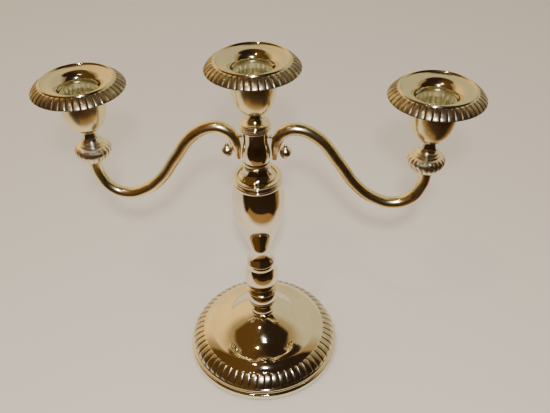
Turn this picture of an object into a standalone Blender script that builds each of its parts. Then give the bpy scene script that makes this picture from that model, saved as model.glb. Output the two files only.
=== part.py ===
"""Three-light tabletop candelabra: a weighted candlestick with a branch that plugs into its socket.

All sizes below are in millimetres and heights are above the table. MM turns them into metres when
a mesh is made. +Z is up, the two arms lie along X, and the origin is on the table under the stem.
"""

import math

import bmesh
import bpy

MM = 0.001

# Driving sizes
BASE_RADIUS = 65.7
BASE_HEIGHT = 50.0  # table to the top of the base's neck
VASE_RADIUS = 19.7
VASE_HEIGHT = 82.2
ARM_REACH = 118.5  # stem's axis to a side light's axis
ARM_RADIUS = 4.5
PAN_RADIUS = 31.75
CANDLE_RADIUS = 11.1  # a standard seven-eighths taper

# Fits
GAP = 0.3  # between pieces that meet
WALL = 1.0  # of every spun or pressed shell
CANDLE_CLEARANCE = 0.5
SIDES = 24
SMALL_SIDES = 20

# The candlestick's stack, from the table up
FELT_THICKNESS = 2.0
FOOT_CLEARANCE = 0.5  # the felt stands this far below the shell's edge
FOOT_WALL = 1.4  # the shell is thicker where it is turned in round the felt
NECK_RADIUS = 8.6
LOWER_KNOP_RADIUS = 12.8
LOWER_KNOP_HEIGHT = 16.4
FILLET_RADIUS = 13.2
FILLET_HEIGHT = 2.4
UPPER_KNOP_RADIUS = 14.0
UPPER_KNOP_HEIGHT = 29.1
RIM_RADIUS = 17.7
RIM_HEIGHT = 4.2
RIM_WIDTH = 3.2
SOCKET_DEPTH = 25.0
LOWER_KNOP_Z = BASE_HEIGHT + GAP
FILLET_Z = LOWER_KNOP_Z + LOWER_KNOP_HEIGHT + GAP
UPPER_KNOP_Z = FILLET_Z + FILLET_HEIGHT + GAP
VASE_Z = UPPER_KNOP_Z + UPPER_KNOP_HEIGHT + GAP
RIM_Z = VASE_Z + VASE_HEIGHT + GAP
RIM_TOP = RIM_Z + RIM_HEIGHT
LINER_BORE = CANDLE_RADIUS + CANDLE_CLEARANCE
LINER_TOP = RIM_TOP - 1.2
LINER_FLOOR = LINER_TOP - SOCKET_DEPTH

# The rod that clamps the weighted base together
ROD_RADIUS = 2.5
ROD_HOLE = ROD_RADIUS + GAP
ROD_FOOT = FELT_THICKNESS + 1.0
POCKET_RADIUS = 9.0
POCKET_HEIGHT = 8.0
NUT_HEIGHT = 4.0
NUT_RADIUS = 4.8
WASHER_HEIGHT = 1.2
WASHER_RADIUS = 7.5
WEIGHT_TOP = BASE_HEIGHT - 9.0
FILLER_FOOT = BASE_HEIGHT - 6.0
LINER_BOSS = 6.0  # radius of the liner's threaded foot
LINER_BOSS_DEPTH = 8.0

# The branch, from the socket up
BRANCH_Z = LINER_TOP + GAP
SKIRT_RADIUS = 13.5
SKIRT_HEIGHT = 8.6
COLLAR_RADIUS = 10.1
COLLAR_HEIGHT = 5.5
HUB_RADIUS = 10.3
HUB_WAIST = 8.8
HUB_HEIGHT = 24.2
STEPS_RADIUS = 10.8
STEPS_HEIGHT = 4.4
STUD_RADIUS = 2.0
STUD_HOLE = STUD_RADIUS + GAP
PLUG_DEPTH = 21.0
PLUG_TOP_WALL = 1.6
SCREW_RADIUS = STUD_RADIUS + 0.6
SCREW_BORE = SCREW_RADIUS + GAP
SCREW_HEAD_RADIUS = 5.5
SCREW_HEAD_HEIGHT = 2.5
SCREW_REACH = 4.0  # how far the screw goes up into the hub
HUB_WELL = 5.0  # depth of the hub's hole for the screw
COLLAR_Z = BRANCH_Z + SKIRT_HEIGHT + GAP
HUB_Z = COLLAR_Z + COLLAR_HEIGHT + GAP
STEPS_Z = HUB_Z + HUB_HEIGHT + GAP
CENTRE_BELL_Z = STEPS_Z + STEPS_HEIGHT + GAP
CENTRE_BELL_RADIUS = 10.3
CENTRE_BELL_HEIGHT = 8.9
CENTRE_LIGHT_Z = CENTRE_BELL_Z + CENTRE_BELL_HEIGHT + GAP

# The side lights stand on the arms' ends
ARM_START = HUB_RADIUS + GAP + 2.4  # the arms' thin tails stand this far from the stem's axis
ARM_END = 8.6  # the arms' outer ends, above the branch's seat
PEG_RADIUS = 1.6
PEG_BITE = 2.0  # how much the peg falls short of the tail's far side
CURL_OUT = 7.7  # from the tail to the curl
CURL_LIFT = 1.6  # of the curl above the hub's foot
KNOB_WELL = 3.0  # depth of solid metal in the knob's foot
KNOB_RADIUS = 13.2
KNOB_HEIGHT = 15.7
SIDE_BELL_RADIUS = 7.8
SIDE_BELL_HEIGHT = 10.3
BELL_NECK = 4.9
KNOB_Z = BRANCH_Z + ARM_END + GAP
SIDE_BELL_Z = KNOB_Z + KNOB_HEIGHT + GAP
SIDE_LIGHT_Z = SIDE_BELL_Z + SIDE_BELL_HEIGHT + GAP

# One light: heights are above the foot of its cup
CUP_RADIUS = 16.0
CUP_HEIGHT = 30.7
CUP_FLOOR = 3.4
STUD_DEPTH = 2.2  # of the stud's blind hole in the cup's foot
PAN_SEAT = CUP_HEIGHT + GAP
PAN_CREST = 7.0  # crest of the pan above its outer edge
PAN_CREST_RADIUS = 24.35
THROAT_RADIUS = 13.4
SLEEVE_RADIUS = THROAT_RADIUS - GAP
SLEEVE_BOTTOM = 9.0
SLEEVE_TOP = PAN_SEAT - 1.3
COLLAR_DEPTH = 2.4  # how far the pan's collar hangs into the cup

SILVER = (0.88, 0.85, 0.80), 0.14, 1.0
STEEL = (0.55, 0.55, 0.56), 0.35, 1.0
CEMENT = (0.50, 0.48, 0.44), 0.90, 0.0
FELT = (0.05, 0.10, 0.07), 0.95, 0.0


def finish(node, look, sharp=math.radians(40)):
    """Gives a new object its own material and smooth, sharp-edged shading."""
    colour, roughness, metallic = look
    material = bpy.data.materials.new(node.name + "_material")
    material.use_nodes = True
    shader = material.node_tree.nodes["Principled BSDF"]
    shader.inputs["Base Color"].default_value = (*colour, 1.0)
    shader.inputs["Roughness"].default_value = roughness
    shader.inputs["Metallic"].default_value = metallic
    node.data.materials.append(material)
    if node.type == "MESH":
        node.data.shade_smooth()
        node.data.set_sharp_from_angle(angle=sharp)
    return node


def frame(name, x=0.0, z=0.0, parent=None):
    """An empty on a joint's axis, which the pieces that move together hang from."""
    empty = bpy.data.objects.new(name, None)
    empty.location = (x * MM, 0.0, z * MM)
    empty.parent = parent
    bpy.context.collection.objects.link(empty)
    return empty


def turned(name, outline, look, parent, z=0.0, sides=SIDES):
    """A closed body turned about its own Z axis from (radius, height) points.

    A solid's outline starts and ends on the axis. A ring's or a shell's runs all round its section.
    """
    mesh = bmesh.new()
    points = [mesh.verts.new((radius * MM, 0.0, height * MM)) for radius, height in outline]
    edges = [mesh.edges.new(pair) for pair in zip(points, points[1:])]
    if outline[0][0] > 0:
        edges.append(mesh.edges.new((points[-1], points[0])))
    bmesh.ops.spin(
        mesh, geom=points + edges, cent=(0, 0, 0), axis=(0, 0, 1), angle=math.tau, steps=sides
    )
    bmesh.ops.remove_doubles(mesh, verts=mesh.verts, dist=0.001 * MM)
    bmesh.ops.recalc_face_normals(mesh, faces=mesh.faces)
    data = bpy.data.meshes.new(name)
    mesh.to_mesh(data)
    mesh.free()
    node = bpy.data.objects.new(name, data)
    node.parent = parent
    node.location.z = z * MM
    bpy.context.collection.objects.link(node)
    return finish(node, look)


def hexagon_nut(name, section, parent):
    """A twelve-sided ring whose every other outer corner is drawn in to the middle of a flat."""
    node = turned(name, section, STEEL, parent, sides=12)
    corner = section[1][0] * MM
    for vertex in node.data.vertices:
        reach = vertex.co.xy.length
        turn = round(math.degrees(math.atan2(vertex.co.y, vertex.co.x)) / 30.0)
        if reach > 0.9 * corner and turn % 2:
            vertex.co.x *= math.cos(math.pi / 6)
            vertex.co.y *= math.cos(math.pi / 6)
    return node


def inset(points, distance):
    """Moves a profile that runs downwards towards the axis by one wall's thickness."""
    moved = []
    for index, (radius, height) in enumerate(points):
        before = points[max(index - 1, 0)]
        after = points[min(index + 1, len(points) - 1)]
        across, down = after[0] - before[0], before[1] - after[1]
        length = math.hypot(across, down)
        if index in (0, len(points) - 1):
            moved.append((radius - distance, height))
        else:
            moved.append((radius - distance * down / length, height - distance * across / length))
    return moved


def shell(points, wall=WALL):
    """The closed section of a thin spun shell whose outside is given from top to bottom."""
    return points + inset(points, wall)[::-1]


def tube(bottom, top, outer, bore):
    return [(bore, bottom), (outer, bottom), (outer, top), (bore, top)]


def disc(bottom, top, radius):
    return [(0.0, top), (radius, top), (radius, bottom), (0.0, bottom)]


# ---------------------------------------------------------------- weighted candlestick


def base_outside():
    """The base from its neck, over the swept dome, the rounded band and the steps, to the foot."""
    edge = BASE_RADIUS
    return [
        (NECK_RADIUS, BASE_HEIGHT),
        (NECK_RADIUS + 0.2, BASE_HEIGHT - 6.4),
        (NECK_RADIUS + 1.2, BASE_HEIGHT - 8.3),
        (edge * 0.198, BASE_HEIGHT - 9.3),
        (edge * 0.274, BASE_HEIGHT - 11.4),
        (edge * 0.35, BASE_HEIGHT - 14.3),
        (edge * 0.411, BASE_HEIGHT - 17.0),
        (edge * 0.472, BASE_HEIGHT - 19.9),
        (edge * 0.548, BASE_HEIGHT - 22.6),
        (edge * 0.624, BASE_HEIGHT - 24.4),
        (edge * 0.70, BASE_HEIGHT - 25.6),
        (edge * 0.752, BASE_HEIGHT - 27.4),
        (edge * 0.803, BASE_HEIGHT - 29.8),
        (edge * 0.865, 18.6),
        (edge * 0.922, 15.7),
        (edge * 0.952, 13.0),
        (edge * 0.958, 11.4),
        (edge * 0.936, 10.4),
        (edge * 0.962, 8.6),
        (edge * 0.948, 6.8),
        (edge, 5.2),
        (edge, FOOT_CLEARANCE),
    ]


def base_inside():
    """The inside of the base shell, plainer than its outside."""
    edge = BASE_RADIUS
    return [
        (NECK_RADIUS - WALL, BASE_HEIGHT),
        (NECK_RADIUS - WALL, BASE_HEIGHT - 8.4),
        (NECK_RADIUS + 0.6, BASE_HEIGHT - 9.9),
        (edge * 0.193, BASE_HEIGHT - 10.4),
        (edge * 0.266, BASE_HEIGHT - 12.6),
        (edge * 0.341, BASE_HEIGHT - 15.4),
        (edge * 0.402, BASE_HEIGHT - 18.1),
        (edge * 0.463, BASE_HEIGHT - 21.0),
        (edge * 0.542, BASE_HEIGHT - 23.9),
        (edge * 0.624, BASE_HEIGHT - 25.7),
        (edge * 0.694, BASE_HEIGHT - 26.8),
        (edge * 0.795, BASE_HEIGHT - 31.0),
        (edge * 0.86, 17.2),
        (edge * 0.915, 13.6),
        (edge * 0.92, 5.6),
        (edge - FOOT_WALL, 4.0),
        (edge - FOOT_WALL, FOOT_CLEARANCE),
    ]


def candlestick(root):
    inside = base_inside()
    turned("base_shell", base_outside() + inside[::-1], SILVER, root)
    felt_edge = BASE_RADIUS - FOOT_WALL - GAP
    turned("felt_pad", disc(0.0, FELT_THICKNESS, felt_edge), FELT, root)

    # Cement fills the shell, with a pocket under it for the rod's nut and washer.
    weight_foot = FELT_THICKNESS + GAP
    filled = inset(inside[:-2], GAP)[1:-1]
    pocket_top = ROD_FOOT + POCKET_HEIGHT
    weight = [(filled[0][0], WEIGHT_TOP), *filled[1:], (BASE_RADIUS * 0.90, weight_foot)]
    weight += [(POCKET_RADIUS, weight_foot), (POCKET_RADIUS, pocket_top), (ROD_HOLE, pocket_top)]
    weight += [(ROD_HOLE, WEIGHT_TOP)]
    turned("base_weight", weight, CEMENT, root)
    nut_z = pocket_top - GAP - WASHER_HEIGHT - GAP - NUT_HEIGHT
    washer_z = nut_z + NUT_HEIGHT + GAP
    washer = tube(washer_z, pocket_top - GAP, WASHER_RADIUS, ROD_HOLE)
    turned("rod_washer", washer, STEEL, root)
    hexagon_nut("rod_nut", tube(nut_z, nut_z + NUT_HEIGHT, NUT_RADIUS, ROD_HOLE), root)
    turned("stem_rod", disc(ROD_FOOT, LINER_FLOOR - 2.0, ROD_RADIUS), STEEL, root, sides=12)

    top, radius = LOWER_KNOP_HEIGHT, LOWER_KNOP_RADIUS
    lower = [(radius * 0.74, top), (radius * 0.93, top * 0.78), (radius, top * 0.48)]
    lower += [(radius * 0.92, top * 0.2), (NECK_RADIUS + 0.2, 0.0)]
    turned("lower_knop", shell(lower), SILVER, root, LOWER_KNOP_Z)
    fillet = [(FILLET_RADIUS * 0.6, 0.0), (FILLET_RADIUS * 0.9, 0.0), (FILLET_RADIUS, FILLET_HEIGHT / 2)]
    fillet += [(FILLET_RADIUS * 0.9, FILLET_HEIGHT), (FILLET_RADIUS * 0.6, FILLET_HEIGHT)]
    turned("fillet_ring", fillet, SILVER, root, FILLET_Z)
    top, radius = UPPER_KNOP_HEIGHT, UPPER_KNOP_RADIUS
    upper = [(radius * 0.76, top), (radius * 0.80, top * 0.88), (radius * 0.94, top * 0.64)]
    upper += [(radius, top * 0.42), (radius * 0.93, top * 0.2), (radius * 0.76, 0.0)]
    turned("upper_knop", shell(upper), SILVER, root, UPPER_KNOP_Z)

    vase = [
        (VASE_RADIUS * 0.915, VASE_HEIGHT),
        (VASE_RADIUS * 0.965, VASE_HEIGHT * 0.89),
        (VASE_RADIUS, VASE_HEIGHT * 0.79),
        (VASE_RADIUS * 0.985, VASE_HEIGHT * 0.695),
        (VASE_RADIUS * 0.92, VASE_HEIGHT * 0.60),
        (VASE_RADIUS * 0.71, VASE_HEIGHT * 0.42),
        (VASE_RADIUS * 0.51, VASE_HEIGHT * 0.27),
        (VASE_RADIUS * 0.38, VASE_HEIGHT * 0.17),
        (VASE_RADIUS * 0.39, VASE_HEIGHT * 0.11),
        (VASE_RADIUS * 0.49, VASE_HEIGHT * 0.05),
        (VASE_RADIUS * 0.575, 0.0),
    ]
    turned("vase_shell", shell(vase), SILVER, root, VASE_Z)
    knop_core = inset(upper, WALL + GAP)[1:-1]
    core = [(NECK_RADIUS - WALL - GAP, FILLER_FOOT)]
    core += [(NECK_RADIUS - WALL - GAP, UPPER_KNOP_Z + GAP)]
    core += [(radius, UPPER_KNOP_Z + height) for radius, height in knop_core[::-1]]
    core += [(VASE_RADIUS * 0.38 - WALL - GAP, VASE_Z + VASE_HEIGHT * 0.09)]
    core += [(VASE_RADIUS * 0.38 - WALL - GAP, VASE_Z + VASE_HEIGHT * 0.17)]
    core += [(VASE_RADIUS * 0.62, VASE_Z + VASE_HEIGHT * 0.43), (ROD_HOLE, VASE_Z + VASE_HEIGHT * 0.43)]
    core += [(ROD_HOLE, FILLER_FOOT)]
    turned("stem_filler", core, CEMENT, root)

    # The liner hangs from the rim by its flange, and the rod is threaded into its foot.
    flange = RIM_RADIUS - RIM_WIDTH - GAP
    liner = [(LINER_BORE, LINER_TOP), (flange, LINER_TOP), (flange, LINER_TOP - WALL)]
    liner += [(LINER_BORE + WALL, LINER_TOP - WALL), (LINER_BORE + WALL, LINER_FLOOR - WALL)]
    boss_foot = LINER_FLOOR - LINER_BOSS_DEPTH
    liner += [(LINER_BOSS, boss_foot), (ROD_HOLE, boss_foot), (ROD_HOLE, LINER_FLOOR - WALL)]
    liner += [(0.0, LINER_FLOOR - WALL)]
    turned("socket_liner", [(0.0, LINER_FLOOR), (LINER_BORE, LINER_FLOOR), *liner], SILVER, root)
    inner = RIM_RADIUS - RIM_WIDTH
    ledge = LINER_TOP - WALL - GAP
    rim = [(inner, RIM_TOP), (RIM_RADIUS, RIM_TOP), (RIM_RADIUS, RIM_TOP - 1.4)]
    rim += [(RIM_RADIUS - 1.0, RIM_TOP - 2.4), (VASE_RADIUS * 0.915, RIM_Z)]
    rim += [(LINER_BORE + WALL + GAP, RIM_Z), (LINER_BORE + WALL + GAP, ledge), (inner, ledge)]
    turned("socket_rim", rim, SILVER, root)


# ---------------------------------------------------------------- branch


def branch(lift, turn):
    """The plug lifts out of the socket, and the branch turns on the plug's screw."""
    plug_radius = LINER_BORE - GAP
    plug_top = -GAP
    foot = plug_top - PLUG_DEPTH
    web = plug_top - PLUG_TOP_WALL
    plug = [(SCREW_BORE, plug_top), (plug_radius, plug_top), (plug_radius, foot)]
    plug += [(plug_radius - WALL, foot), (plug_radius - WALL, web), (SCREW_BORE, web)]
    turned("branch_plug", plug, SILVER, lift)
    head = web - GAP
    head_foot = head - SCREW_HEAD_HEIGHT
    screw_top = SKIRT_HEIGHT + COLLAR_HEIGHT + 2 * GAP + SCREW_REACH
    screw = [(0.0, screw_top), (SCREW_RADIUS, screw_top), (SCREW_RADIUS, head)]
    screw += [(SCREW_HEAD_RADIUS, head), (SCREW_HEAD_RADIUS, head_foot), (0.0, head_foot)]
    turned("pivot_screw", screw, STEEL, lift, sides=SMALL_SIDES)

    bore = SCREW_BORE
    top = SKIRT_HEIGHT
    skirt = [(bore, 0.0), (SKIRT_RADIUS, 0.0), (SKIRT_RADIUS, 1.2), (SKIRT_RADIUS * 0.87, 2.4)]
    skirt += [(SKIRT_RADIUS * 0.76, top * 0.55), (SKIRT_RADIUS * 0.72, top), (bore, top)]
    turned("branch_skirt", skirt, SILVER, turn)
    top, radius = COLLAR_HEIGHT, COLLAR_RADIUS
    collar = [(bore, 0.0), (radius * 0.93, 0.0), (radius, 1.0), (radius * 0.9, 2.2)]
    collar += [(radius * 0.9, top - 2.4), (radius, top - 1.2), (radius * 0.93, top), (bore, top)]
    turned("hub_collar", collar, SILVER, turn, COLLAR_Z - BRANCH_Z)
    top = HUB_HEIGHT
    hub = [(0.0, HUB_WELL), (bore, HUB_WELL), (bore, 0.0), (HUB_RADIUS * 0.96, 0.0)]
    hub += [(HUB_RADIUS, top * 0.24), (HUB_RADIUS * 0.9, top * 0.42)]
    hub += [(HUB_WAIST, top * 0.58), (HUB_WAIST, top)]
    hub += [(STUD_HOLE, top), (STUD_HOLE, top * 0.4), (0.0, top * 0.4)]
    turned("hub", hub, SILVER, turn, HUB_Z - BRANCH_Z)
    step = STEPS_HEIGHT / 3
    steps = [(STUD_HOLE, 0.0)]
    for level in range(3):
        steps += [(STEPS_RADIUS * 0.93, level * step), (STEPS_RADIUS, (level + 0.5) * step)]
    steps += [(STEPS_RADIUS * 0.93, STEPS_HEIGHT), (STUD_HOLE, STEPS_HEIGHT)]
    turned("stepped_rings", steps, SILVER, turn, STEPS_Z - BRANCH_Z)
    bell("centre_bell", CENTRE_BELL_RADIUS, CENTRE_BELL_HEIGHT, turn, CENTRE_BELL_Z - BRANCH_Z)
    stud("centre_stud", HUB_Z + HUB_HEIGHT * 0.4 + GAP, CENTRE_LIGHT_Z, turn)


def bell(name, radius, height, parent, z):
    """The small flared pedestal under a cup, bored for its stud."""
    outline = [(STUD_HOLE, 0.0), (radius, 0.0), (radius, height * 0.1), (radius * 0.9, height * 0.2)]
    outline += [(BELL_NECK * 1.2, height * 0.5), (BELL_NECK, height * 0.75), (BELL_NECK, height)]
    turned(name, outline + [(STUD_HOLE, height)], SILVER, parent, z, SMALL_SIDES)


def stud(name, foot, light_z, parent):
    """The threaded stud that holds a cup down, from its foot to the cup's blind hole."""
    top = light_z + STUD_DEPTH - GAP
    turned(name, disc(foot - BRANCH_Z, top - BRANCH_Z, STUD_RADIUS), STEEL, parent, sides=12)


def arm_route():
    """Points along one arm as (distance out, height above the branch's seat, radius).

    The arm starts as a thin tail beside the hub, rises over an arch, dips in a long sweep and
    comes up under the side light.
    """
    start = ARM_START
    sweep = ARM_REACH - start
    tail = [(start, 14.9, 1.9), (start + 0.2, 20.0, 2.4), (start + 1.2, 27.0, 3.8)]
    bend = [(start + 3.0, 32.6, 0.94), (start + 7.2, 37.4, 1.0)]
    points = tail + [(out, height, share * ARM_RADIUS) for out, height, share in bend]
    shares = [(0.15, 39.9), (0.28, 33.8), (0.43, 13.4), (0.56, -6.2)]
    shares += [(0.69, -17.0), (0.82, -20.6), (0.935, -15.6), (0.995, -4.0), (1.008, 3.0)]
    shares += [(1.006, ARM_END)]
    return points + [(start + share * sweep, height, ARM_RADIUS) for share, height in shares]


def arm(name, side, parent):
    """One bent arm: a round tube with closed ends that follows the route."""
    curve = bpy.data.curves.new(name, "CURVE")
    curve.dimensions = "3D"
    curve.bevel_depth = ARM_RADIUS * MM
    curve.bevel_resolution = 3
    curve.resolution_u = 3
    curve.use_fill_caps = True
    route = arm_route()
    spline = curve.splines.new("BEZIER")
    spline.bezier_points.add(len(route) - 1)
    for point, (out, height, radius) in zip(spline.bezier_points, route):
        point.co = (side * out * MM, 0.0, height * MM)
        point.radius = radius / ARM_RADIUS
        point.handle_left_type = "AUTO"
        point.handle_right_type = "AUTO"
    upright = spline.bezier_points[-1]
    upright.handle_left_type = "FREE"
    upright.handle_left = upright.co
    upright.handle_left.z -= 1.5 * MM
    node = bpy.data.objects.new(name, curve)
    node.parent = parent
    bpy.context.collection.objects.link(node)
    return finish(node, SILVER)


def side_pieces(label, side, parent):
    """An arm with its peg and curl, and the knob, bell and stud that carry its light."""
    arm(label + "_arm", side, parent)
    peg_line = disc(0.0, ARM_START - HUB_WAIST - PEG_BITE, PEG_RADIUS)
    peg = turned(label + "_arm_peg", peg_line, SILVER, parent, sides=12)
    peg.location = (side * (HUB_WAIST + GAP) * MM, 0.0, (HUB_Z + HUB_HEIGHT * 0.76 - BRANCH_Z) * MM)
    peg.rotation_euler.y = side * math.pi / 2
    ball = [(1.2, 10.7), (1.5, 9.6), (2.6, 8.2), (3.9, 6.6), (4.4, 4.4), (3.8, 2.0), (2.2, 0.5)]
    curl = turned(label + "_curl", [(0.0, ball[0][1]), *ball, (0.0, 0.0)], SILVER, parent, sides=12)
    curl.location = (side * (ARM_START + CURL_OUT) * MM, 0.0, (HUB_Z - BRANCH_Z + CURL_LIFT) * MM)

    light = frame(label + "_knob_frame", side * ARM_REACH, 0.0, parent)
    top, radius = KNOB_HEIGHT, KNOB_RADIUS
    knob = [(0.0, 0.0), (radius * 0.42, 0.0), (radius * 0.7, top * 0.12), (radius * 0.92, top * 0.34)]
    knob += [(radius, top * 0.6), (radius * 0.93, top * 0.81), (radius * 0.66, top * 0.95)]
    knob += [(radius * 0.6, top), (STUD_HOLE, top), (STUD_HOLE, KNOB_WELL), (0.0, KNOB_WELL)]
    turned(label + "_knob", knob, SILVER, light, KNOB_Z - BRANCH_Z, SMALL_SIDES)
    bell(label + "_bell", SIDE_BELL_RADIUS, SIDE_BELL_HEIGHT, light, SIDE_BELL_Z - BRANCH_Z)
    stud(label + "_stud", KNOB_Z + KNOB_WELL + GAP, SIDE_LIGHT_Z, light)


# ---------------------------------------------------------------- lights


def cup_outside():
    height = CUP_HEIGHT
    return [
        (CUP_RADIUS, height),
        (CUP_RADIUS * 0.99, height * 0.82),
        (CUP_RADIUS * 0.963, height * 0.56),
        (CUP_RADIUS * 0.9, height * 0.36),
        (CUP_RADIUS * 0.806, height * 0.2),
        (CUP_RADIUS * 0.69, height * 0.1),
        (CUP_RADIUS * 0.525, 0.4),
        (BELL_NECK, 0.0),
    ]


def light(label, x, z, parent):
    """A cup on the branch, with the sleeve and the drip pan that lift out of it."""
    seat = frame(label + "_light", x, z, parent)
    outside = cup_outside()
    inside = [point for point in inset(outside, WALL)[:-1] if point[1] > CUP_FLOOR]
    cup = outside + [(STUD_HOLE, 0.0), (STUD_HOLE, STUD_DEPTH), (0.0, STUD_DEPTH)]
    floor = [(0.0, CUP_FLOOR), (CUP_RADIUS * 0.6, CUP_FLOOR)]
    turned(label + "_cup", [*floor, *inside[::-1], *cup], SILVER, seat)

    lift = frame(label + "_sleeve_lift", parent=seat)
    bore = CANDLE_RADIUS + CANDLE_CLEARANCE
    flare = SLEEVE_TOP
    sleeve = [(SLEEVE_RADIUS, flare), (SLEEVE_RADIUS, flare - 2.4), (bore + WALL, flare - 5.0)]
    sleeve += [(bore + WALL, SLEEVE_BOTTOM + 2.0), (bore + 0.5, SLEEVE_BOTTOM)]
    sleeve += [(bore - 0.3, SLEEVE_BOTTOM), (bore, SLEEVE_BOTTOM + 2.0), (bore, flare - 5.4)]
    sleeve += [(SLEEVE_RADIUS - 0.8, flare - 2.4), (SLEEVE_RADIUS - 0.8, flare)]
    turned(label + "_sleeve", sleeve, SILVER, lift, 0.0, SMALL_SIDES)
    turned(label + "_pan", pan_outline(), SILVER, frame(label + "_pan_turn", parent=lift))


def pan_outline():
    """A drip pan's section: rolled band, crest, shallow basin and throat, then its underside."""
    edge = PAN_SEAT + 0.7
    crest = edge + PAN_CREST
    band = PAN_RADIUS - PAN_CREST_RADIUS
    top = [(PAN_RADIUS, edge), (PAN_RADIUS - band * 0.13, edge + PAN_CREST * 0.42)]
    top += [(PAN_RADIUS - band * 0.42, edge + PAN_CREST * 0.77)]
    top += [(PAN_CREST_RADIUS + 0.9, crest - 0.1), (PAN_CREST_RADIUS, crest)]
    top += [(PAN_CREST_RADIUS - 0.9, crest - 0.6), (21.4, crest - 1.6), (18.8, crest - 2.1)]
    top += [(16.6, crest - 3.2), (THROAT_RADIUS + 1.3, crest - 5.0), (THROAT_RADIUS + 0.2, crest - 7.0)]
    top += [(THROAT_RADIUS, PAN_SEAT - 0.4)]
    collar = CUP_RADIUS - WALL - 2 * GAP
    foot = PAN_SEAT - COLLAR_DEPTH
    under = [(THROAT_RADIUS, foot), (collar, foot), (collar, PAN_SEAT)]
    under += [(CUP_RADIUS + 0.2, PAN_SEAT), (CUP_RADIUS + 1.8, crest - 3.9)]
    under += [(PAN_CREST_RADIUS, crest - 1.6), (PAN_RADIUS - band * 0.47, edge + PAN_CREST * 0.58)]
    return top + under + [(PAN_RADIUS - 1.0, edge)]


for old in list(bpy.data.objects):
    bpy.data.objects.remove(old, do_unlink=True)

candlestick_frame = frame("candlestick_frame")
lift_frame = frame("branch_lift", z=BRANCH_Z, parent=candlestick_frame)
turn_frame = frame("branch_turn", parent=lift_frame)
candlestick(candlestick_frame)
branch(lift_frame, turn_frame)
for name, side in (("left", -1), ("right", 1)):
    side_pieces(name, side, turn_frame)
for name, x, z in (
    ("left", -ARM_REACH, SIDE_LIGHT_Z),
    ("centre", 0.0, CENTRE_LIGHT_Z),
    ("right", ARM_REACH, SIDE_LIGHT_Z),
):
    light(name, x, z - BRANCH_Z, turn_frame)
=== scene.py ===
"""Three-light silver candelabra: a weighted candlestick and the branch that plugs into its socket."""

import math

import bmesh
import bpy
from mathutils import Matrix, Vector


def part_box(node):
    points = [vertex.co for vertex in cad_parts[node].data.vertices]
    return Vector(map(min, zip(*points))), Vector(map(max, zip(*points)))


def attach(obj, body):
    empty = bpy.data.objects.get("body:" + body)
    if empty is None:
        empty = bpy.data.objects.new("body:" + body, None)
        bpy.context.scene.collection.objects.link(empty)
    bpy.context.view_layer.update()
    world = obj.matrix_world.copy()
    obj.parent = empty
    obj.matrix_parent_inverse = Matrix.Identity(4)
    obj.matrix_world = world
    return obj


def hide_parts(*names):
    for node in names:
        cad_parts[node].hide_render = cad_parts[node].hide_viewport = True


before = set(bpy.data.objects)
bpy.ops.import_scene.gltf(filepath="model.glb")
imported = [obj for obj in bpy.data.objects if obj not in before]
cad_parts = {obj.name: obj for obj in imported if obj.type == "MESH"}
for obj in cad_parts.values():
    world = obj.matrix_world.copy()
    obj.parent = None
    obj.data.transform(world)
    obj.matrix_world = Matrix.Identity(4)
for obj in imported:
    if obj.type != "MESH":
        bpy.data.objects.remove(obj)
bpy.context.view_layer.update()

# ---------------------------------------------------------------- camera
# Set a little to the right of the stem and above the cups, as one looks down on a laid table.
EYE = Vector((0.0453, -0.3516, 0.4414))
HEADING = math.radians(5.33)
DIP = math.radians(38.93)
LEAN = math.radians(-1.16)
LENS = 39.27
SENSOR = 36.0

level = Vector((math.cos(HEADING), math.sin(HEADING), 0.0))
ahead = Vector((
    -math.sin(HEADING) * math.cos(DIP), math.cos(HEADING) * math.cos(DIP), -math.sin(DIP),
))
overhead = level.cross(ahead)
rightward = level * math.cos(LEAN) + overhead * math.sin(LEAN)
upward = overhead * math.cos(LEAN) - level * math.sin(LEAN)
bpy.ops.object.camera_add(location=EYE)
camera = bpy.context.active_object
camera.name = "camera"
camera.rotation_euler = Matrix((rightward, upward, -ahead)).transposed().to_euler()
camera.data.lens = LENS
camera.data.sensor_width = SENSOR
bpy.context.scene.camera = camera

# ---------------------------------------------------------------- table
# A pale, smooth table top. Only in the silver, its front and sides turn gold and then dark: a painted
# reflection of the unlit room in front, as if a dark card lay there out of sight.
TABLE_SIZE = 8.0
TABLE_CREAM = (0.74, 0.69, 0.625, 1.0)
# Gold and dark of the painted reflection of the unlit room, seen only in the silver.
REFLECTED_ROOM_GOLD = (0.24, 0.135, 0.042, 1.0)
REFLECTED_ROOM_DARK = (0.022, 0.012, 0.007, 1.0)
TABLE_DROP = 0.0002  # keeps it just clear of the felt
TABLE_ROUGHNESS = 0.45
TABLE_SHEEN = 0.15
REFLECTION_NEAR = (0.085, 0.16)  # how far out the painted reflection fades in
REFLECTION_FAR = (0.225, 0.265)  # where it goes from gold to dark
REFLECTION_SIDES = (0.16, 0.19)  # and how far to each side


def chain(tree, kind, **inputs):
    """A node with the named inputs set, either to a value or to another node's output."""
    node = tree.nodes.new(kind)
    for name, value in inputs.items():
        numbered = name[0] == "i" and name[1:].isdigit()
        socket = node.inputs[int(name[1:]) if numbered else name]
        if isinstance(value, bpy.types.NodeSocket):
            tree.links.new(value, socket)
        else:
            socket.default_value = value
    return node


def ramp(tree, value, low, high):
    """0 below low and 1 above high, with a smooth step between."""
    node = chain(tree, "ShaderNodeMapRange", i0=value, i1=low, i2=high)
    node.interpolation_type = "SMOOTHSTEP"
    return node.outputs[0]


def maths(tree, operation, first, second=0.0):
    node = chain(tree, "ShaderNodeMath", i0=first, i1=second)
    node.operation = operation
    return node.outputs[0]


def blend_colours(tree, share, first, second):
    node = tree.nodes.new("ShaderNodeMix")
    node.data_type = "RGBA"
    for socket, value in zip((node.inputs[0], node.inputs[6], node.inputs[7]),
        (share, first, second)):
        if isinstance(value, bpy.types.NodeSocket):
            tree.links.new(value, socket)
        else:
            socket.default_value = value
    return node.outputs[2]


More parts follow.
